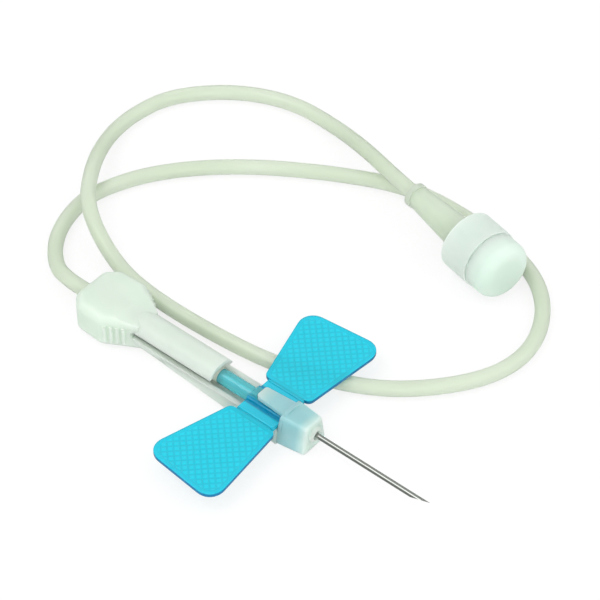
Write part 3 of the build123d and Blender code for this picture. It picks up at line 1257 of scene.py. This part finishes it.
    def fold(self, smooth: Material) -> None:
        """Adds the thin strip between the hub's web and the wing.

        Args:
            smooth: Its finish.
        """
        sign = self.side.value
        near, far = WEB.half_mm - self.fold_lap_mm, self.root_mm + self.fold_lap_mm
        top = self.bottom_mm + self.thickness_mm
        strip = block(
            self.node + "_fold",
            (WEB.length_mm - self.fold_inset_mm, far - near, self.fold_thickness_mm),
            (WEB.middle_mm, sign * (near + far) / 2, top - self.fold_thickness_mm / 2),
        )
        modify(strip, "BEVEL", width=self.fold_edge_mm * MM, segments=self.fold_edge_steps)
        with editing():
            bpy.ops.mesh.select_all(action="SELECT")
            bpy.ops.mesh.subdivide(number_cuts=self.fold_cuts)
        dress(strip, smooth)
        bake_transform(strip)
        report(strip)


@dataclass
class WingSet:
    """The blue moulding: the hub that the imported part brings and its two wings."""

    rib_place_mm: float = 3.3
    rib_width_mm: float = 0.34
    rib_height_mm: float = 0.16
    rib_edge_mm: float = 0.12
    rib_edge_steps: int = 4
    # How much shorter than the webs the ribs are.
    rib_inset_mm: float = 0.3

    def ribs(self, finish: Material) -> None:
        """Adds a low rib along the fold on each web.

        Args:
            finish: Their finish.
        """
        size = (WEB.length_mm - self.rib_inset_mm, self.rib_width_mm, 2 * self.rib_height_mm)
        made = []
        for side in Side:
            place = (WEB.middle_mm, side.value * self.rib_place_mm, WEB.top_mm)
            rib = block("web_fold_ribs", size, place)
            modify(rib, "BEVEL", width=self.rib_edge_mm * MM, segments=self.rib_edge_steps)
            made.append(rib)
        ribs = join(made, "web_fold_ribs")
        bpy.ops.object.shade_smooth_by_angle(angle=math.radians(SMOOTH_DEG))
        dress(ribs, finish)
        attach(ribs, Body.NEEDLE_UNIT.value)
        report(ribs)

    def build(self) -> None:
        """Dresses the hub, adds its ribs and makes both wings."""
        smooth, grip, edge = (f.material() for f in (BLUE_VINYL, BLUE_GRIP_FIELD_PAINTED_SHADE, BLUE_EDGE_PAINTED_DEEPER))
        # The sleeve's finish holds a painted lighter sleeve and a painted shade band along its
        # foot.
        sleeve = BLUE_SLEEVE_PAINTED_LIGHT_AND_SHADE.material()
        dress(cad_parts["wing_hub"], sleeve)
        self.ribs(sleeve)
        Wing(Side.LEFT, Body.LEFT_WING, "wing_left").build(smooth, grip, edge)
        Wing(Side.RIGHT, Body.RIGHT_WING, "wing_right").build(smooth, grip, edge)


# ------------------------------------------------------- pieces from the part


@dataclass(frozen=True)
class CarriedPieces:
    """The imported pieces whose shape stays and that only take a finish."""

    finishes: tuple[tuple[str, MouldedPlastic | DrawnSteel], ...] = (
        ("safety_shield", HOUSING_PLASTIC),
        ("needle_cannula", NEEDLE_STEEL),
        ("needle_adhesive", ADHESIVE),
        ("luer_connector", CONNECTOR_PLASTIC),
        ("luer_cap", CAP_PLASTIC),
    )

    def dress(self) -> None:
        """Gives each of them its finish."""
        for node, finish in self.finishes:
            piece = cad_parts[node]
            dress(piece, finish.material())
            report(piece)


@dataclass
class HousingFoot:
    """The flat foot of the housing, whose sides widen from the round body at the grip to the nose.

    Each half width is the distance from the needle's plane to the outer face of a side wall.
    """

    rear_mm: float = -20.6
    front_mm: float = 6.95
    # The half widths on the table.
    rear_half_mm: float = 1.5
    front_half_mm: float = 3.22
    # The half widths at the walls' top, where they meet the round body.
    rear_top_half_mm: float = 2.56
    front_top_half_mm: float = 2.72
    # From the needle's plane to the inner face of a wall, on the table and at its top.
    inner_bottom_mm: float = 1.0
    inner_top_mm: float = 2.2
    bottom_mm: float = 0.02
    top_mm: float = 2.4
    edge_mm: float = 0.2
    edge_steps: int = 4

    def side_wall(self, side: Side) -> Piece:
        """Makes the wall on one side, from the table up to the slot in the round body.

        Args:
            side: The side of the needle's plane.

        Returns:
            The wall.
        """
        wall = block("housing_foot", (1.0, 1.0, 1.0), (0.0, 0.0, 0.0))
        for vertex in wall.data.vertices:
            front, outer, top = vertex.co.x > 0, vertex.co.y * side.value > 0, vertex.co.z > 0
            if outer and top:
                half = self.front_top_half_mm if front else self.rear_top_half_mm
            elif outer:
                half = self.front_half_mm if front else self.rear_half_mm
            else:
                half = self.inner_top_mm if top else self.inner_bottom_mm
            x = self.front_mm if front else self.rear_mm
            z = self.top_mm if top else self.bottom_mm
            vertex.co = Vector((x, side.value * half, z)) * MM
        modify(wall, "BEVEL", width=self.edge_mm * MM, segments=self.edge_steps)
        return wall

    def build(self, finish: Material) -> None:
        """Makes both side walls as one piece.

        Args:
            finish: The housing's plastic, painted lighter for the foot.
        """
        foot = join([self.side_wall(side) for side in Side], "housing_foot")
        bpy.ops.object.shade_smooth_by_angle(angle=math.radians(SMOOTH_DEG))
        dress(foot, finish)
        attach(foot, Body.HOUSING.value)
        report(foot)


def main() -> None:
    """Builds the set in order."""
    Studio().build()
    Tubing().build()
    WingSet().build()
    CarriedPieces().dress()
    HousingFoot().build(FOOT_PLASTIC_PAINTED_LIGHTER.material())


if __name__ == "__main__":
    main()
